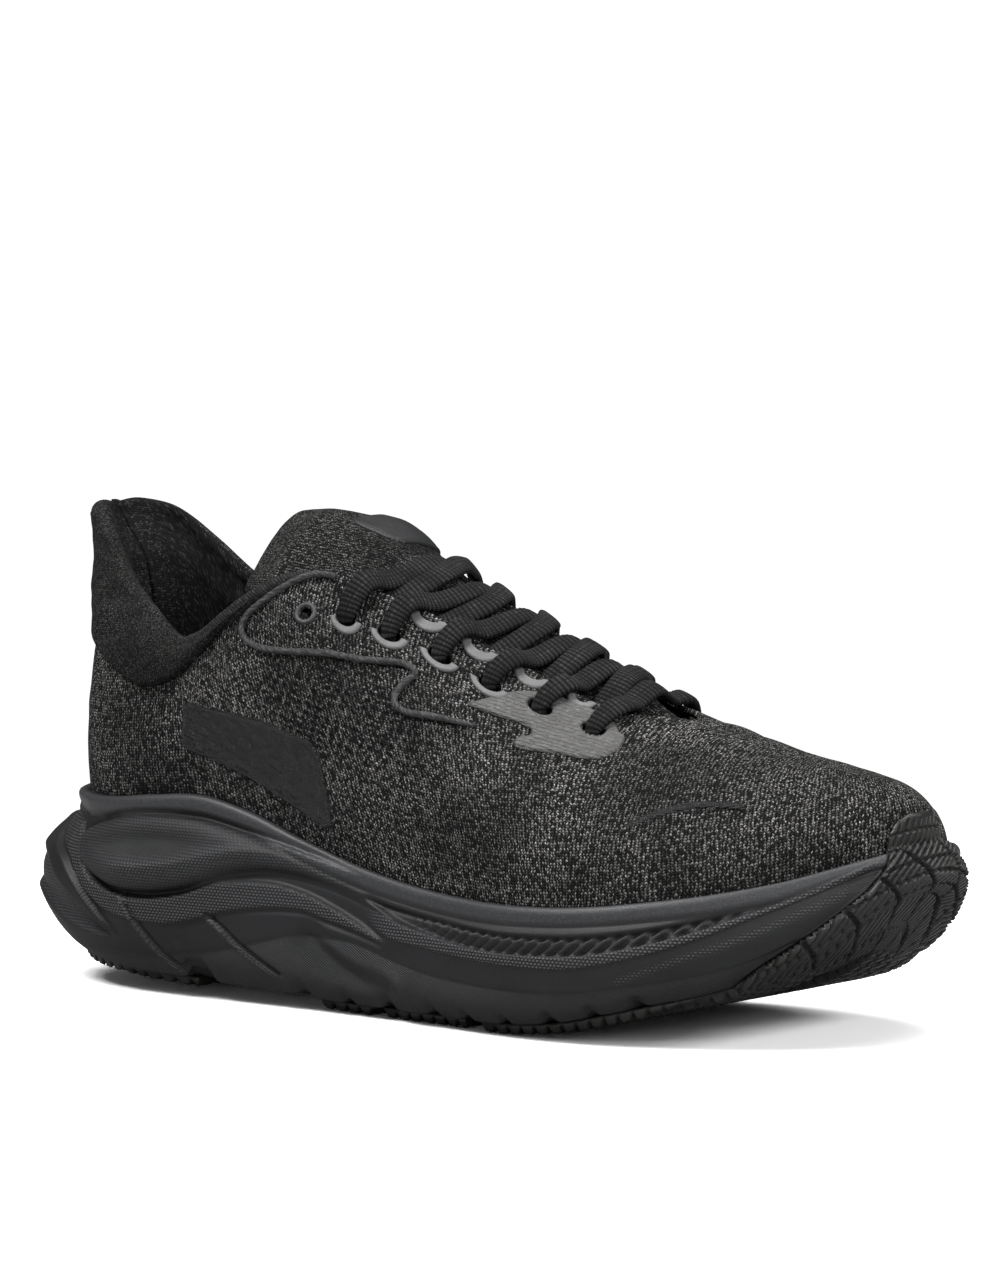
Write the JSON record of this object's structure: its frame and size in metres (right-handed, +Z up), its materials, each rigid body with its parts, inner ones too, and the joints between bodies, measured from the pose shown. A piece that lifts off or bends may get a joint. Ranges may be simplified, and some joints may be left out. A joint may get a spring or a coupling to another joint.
{
  "type": "running shoe",
  "caption": "Low-cut cushioned running shoe, right foot: thick sculpted foam midsole, rubber pods, padded knit upper, laced tongue, flared heel tab.",
  "frame": {"origin": "on the ground under the middle of the shoe, at the centre of the bottom of its bounding box", "axes": "+X towards the toe, +Y towards the medial side, +Z up"},
  "size_m": [0.2999, 0.1109, 0.1391],
  "materials": {
    "foam": "matte foam with fine moulded texture",
    "rubber": "matte",
    "board": "matte",
    "sock_foam": "matte",
    "sock_cloth": "matte",
    "knit": "heathered engineered knit",
    "lining": "soft mesh",
    "stiffener": "matte",
    "padding": "open foam",
    "heel_knit": "padded knit",
    "binding": "matte",
    "film": "satin",
    "piping": "satin",
    "dark_film": "satin",
    "lace": "ribbed weave",
    "lace_tip": "gloss"
  },
  "bodies": {
    "shoe": {"midsole": "foam", "outsole_heel_lateral": "rubber", "outsole_heel_medial": "rubber", "outsole_mid_lateral_1": "rubber", "outsole_mid_lateral_2": "rubber", "outsole_mid_medial": "rubber", "outsole_forefoot_lateral": "rubber", "outsole_forefoot_medial": "rubber", "outsole_toe": "rubber", "strobel_board": "board", "upper_mesh": "knit", "upper_lining": "lining", "toe_puff": "stiffener", "heel_counter": "stiffener", "collar_foam": "padding", "collar_lining": "lining", "heel_cover_lateral": "heel_knit", "heel_cover_medial": "heel_knit", "collar_binding_lateral": "binding", "collar_binding_medial": "binding", "film_lateral_0": "film", "film_lateral_1": "film", "film_lateral_2": "film", "film_lateral_3": "film", "film_lateral_4": "film", "film_medial_0": "film", "film_medial_1": "film", "film_medial_2": "film", "film_medial_3": "film", "film_medial_4": "film", "throat_film_lateral": "film", "throat_film_medial": "film", "piping_lateral": "piping", "piping_medial": "piping", "toe_accent": "dark_film", "side_emblem_lateral": "dark_film", "side_emblem_medial": "dark_film", "lace": "lace", "lace_tip_lateral": "lace_tip", "lace_tip_medial": "lace_tip"},
    "tongue": {"tongue_face": "knit", "tongue_foam": "padding", "tongue_lining": "lining", "tongue_label": "dark_film"},
    "sockliner": {"sockliner_foam": "sock_foam", "sockliner_cover": "sock_cloth"},
    "heel_tab": {"tab_cover": "heel_knit", "tab_foam": "padding", "tab_lining": "lining"}
  },
  "joints": [
    {"name": "tongue_hinge", "type": "hinge", "parent": "shoe", "child": "tongue", "pos_m": [0.074, 0.006, 0.0748], "axis": [0, 1, 0], "range_deg": [-4, 0]},
    {"name": "sockliner_lift", "type": "hinge", "parent": "shoe", "child": "sockliner", "pos_m": [0.134, 0.01, 0.0458], "axis": [0, 1, 0], "range_deg": [0, 4]},
    {"name": "heel_tab_flex", "type": "hinge", "parent": "shoe", "child": "heel_tab", "pos_m": [-0.127, 0, 0.0933], "axis": [0, -1, 0], "range_deg": [0, 15]}
  ]
}
